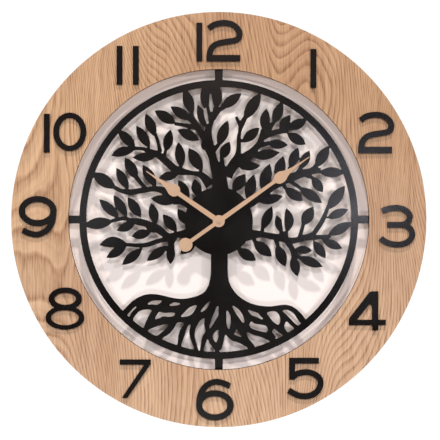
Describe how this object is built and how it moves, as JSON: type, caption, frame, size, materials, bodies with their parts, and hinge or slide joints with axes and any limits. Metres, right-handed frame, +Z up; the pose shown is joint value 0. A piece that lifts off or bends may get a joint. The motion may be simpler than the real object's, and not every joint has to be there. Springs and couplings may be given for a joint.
{
  "type": "wall clock",
  "caption": "Round wall clock: raised numerals on a wooden ring, around a sheet-metal tree-of-life panel that carries the movement and the hands.",
  "frame": {"origin": "seat of the keyhole in the hanging bracket, in the plane of the wall, where the shank of the wall screw rests", "axes": "+Z up, -Y out of the wall towards the viewer, +X to the viewer's right; the wall is the plane y = 0"},
  "size_m": [0.5999, 0.041, 0.6],
  "materials": {
    "oak": "clear satin lacquer on straight-grained oak veneer",
    "black_coat": "satin black powder coat",
    "black_numeral": "black satin",
    "white_foam": "white foam",
    "zinc": "bright zinc plate",
    "black_plastic": "fine moulded grain",
    "felt": "dark felt",
    "tan_hand": "satin wood-coloured paint",
    "brass": "turned brass",
    "rubber": "black rubber",
    "white_nylon": "white moulded wheels",
    "magnet": "dark sintered magnet",
    "iron_core": "bright iron sheet",
    "copper": "enamelled copper wire",
    "green_board": "green solder mask",
    "nickel": "nickel plate",
    "cell_sleeve": "plain printed sleeve, no mark"
  },
  "bodies": {
    "clock": {"wood_ring": "oak", "tree_panel": "black_coat", "numeral_1": "black_numeral", "numeral_2": "black_numeral", "numeral_3": "black_numeral", "numeral_4": "black_numeral", "numeral_5": "black_numeral", "numeral_6": "black_numeral", "numeral_7": "black_numeral", "numeral_8": "black_numeral", "numeral_9": "black_numeral", "numeral_10": "black_numeral", "numeral_11": "black_numeral", "numeral_12": "black_numeral", "numeral_pads": "white_foam", "tab_screws": "zinc", "hanger_bracket": "zinc", "hanger_screws": "zinc", "wall_spacers": "black_plastic", "spacer_screws": "zinc", "felt_pads": "felt", "dial_nut": "brass", "dial_washer": "brass", "rubber_washer": "rubber", "case_front": "black_plastic", "case_back": "black_plastic", "threaded_bush": "brass", "gear_plate": "white_nylon", "stator": "iron_core", "coil": "copper", "circuit_board": "green_board", "quartz_crystal": "nickel", "contact_plus": "nickel", "contact_minus": "nickel", "battery": "cell_sleeve"},
    "hour_set": {"hour_wheel": "white_nylon", "hour_hand": "tan_hand"},
    "minute_set": {"minute_tube": "brass", "minute_hand": "tan_hand", "hand_nut": "tan_hand"},
    "centre_body": {"centre_wheel": "white_nylon"},
    "minute_wheel_body": {"minute_wheel": "white_nylon"},
    "knob_body": {"set_knob": "black_plastic"},
    "third_body": {"third_wheel": "white_nylon"},
    "seconds_body": {"seconds_wheel": "white_nylon"},
    "step_body": {"step_wheel": "white_nylon"},
    "rotor_body": {"rotor": "magnet"}
  },
  "joints": [
    {"name": "minute_turn", "type": "hinge", "parent": "clock", "child": "minute_set", "pos_m": [0, 0, -0.2584], "axis": [0, 1, 0], "continuous": true},
    {"name": "hour_turn", "type": "hinge", "parent": "clock", "child": "hour_set", "pos_m": [0, 0, -0.2584], "axis": [0, 1, 0], "continuous": true},
    {"name": "minute_wheel_turn", "type": "hinge", "parent": "clock", "child": "minute_wheel_body", "pos_m": [0, 0, -0.2509], "axis": [0, 1, 0], "continuous": true},
    {"name": "knob_turn", "type": "hinge", "parent": "clock", "child": "knob_body", "pos_m": [-0.0053, 0, -0.2456], "axis": [0, 1, 0], "continuous": true},
    {"name": "centre_turn", "type": "hinge", "parent": "clock", "child": "centre_body", "pos_m": [0, 0, -0.2584], "axis": [0, 1, 0], "continuous": true},
    {"name": "third_turn", "type": "hinge", "parent": "clock", "child": "third_body", "pos_m": [-0.0085, 0, -0.2584], "axis": [0, 1, 0], "continuous": true},
    {"name": "seconds_turn", "type": "hinge", "parent": "clock", "child": "seconds_body", "pos_m": [0, 0, -0.2584], "axis": [0, 1, 0], "continuous": true},
    {"name": "step_turn", "type": "hinge", "parent": "clock", "child": "step_body", "pos_m": [0.0085, 0, -0.2584], "axis": [0, 1, 0], "continuous": true},
    {"name": "rotor_turn", "type": "hinge", "parent": "clock", "child": "rotor_body", "pos_m": [0.0115, 0, -0.2532], "axis": [0, 1, 0], "continuous": true}
  ],
  "couplings": [
    {"joint": "hour_turn", "follows": "minute_turn", "ratio": 0.083333},
    {"joint": "minute_wheel_turn", "follows": "minute_turn", "ratio": -0.33333},
    {"joint": "knob_turn", "follows": "minute_turn", "ratio": 1},
    {"joint": "centre_turn", "follows": "minute_turn", "ratio": 1},
    {"joint": "third_turn", "follows": "minute_turn", "ratio": -8},
    {"joint": "seconds_turn", "follows": "minute_turn", "ratio": 60},
    {"joint": "step_turn", "follows": "minute_turn", "ratio": -450},
    {"joint": "rotor_turn", "follows": "minute_turn", "ratio": 1800}
  ]
}
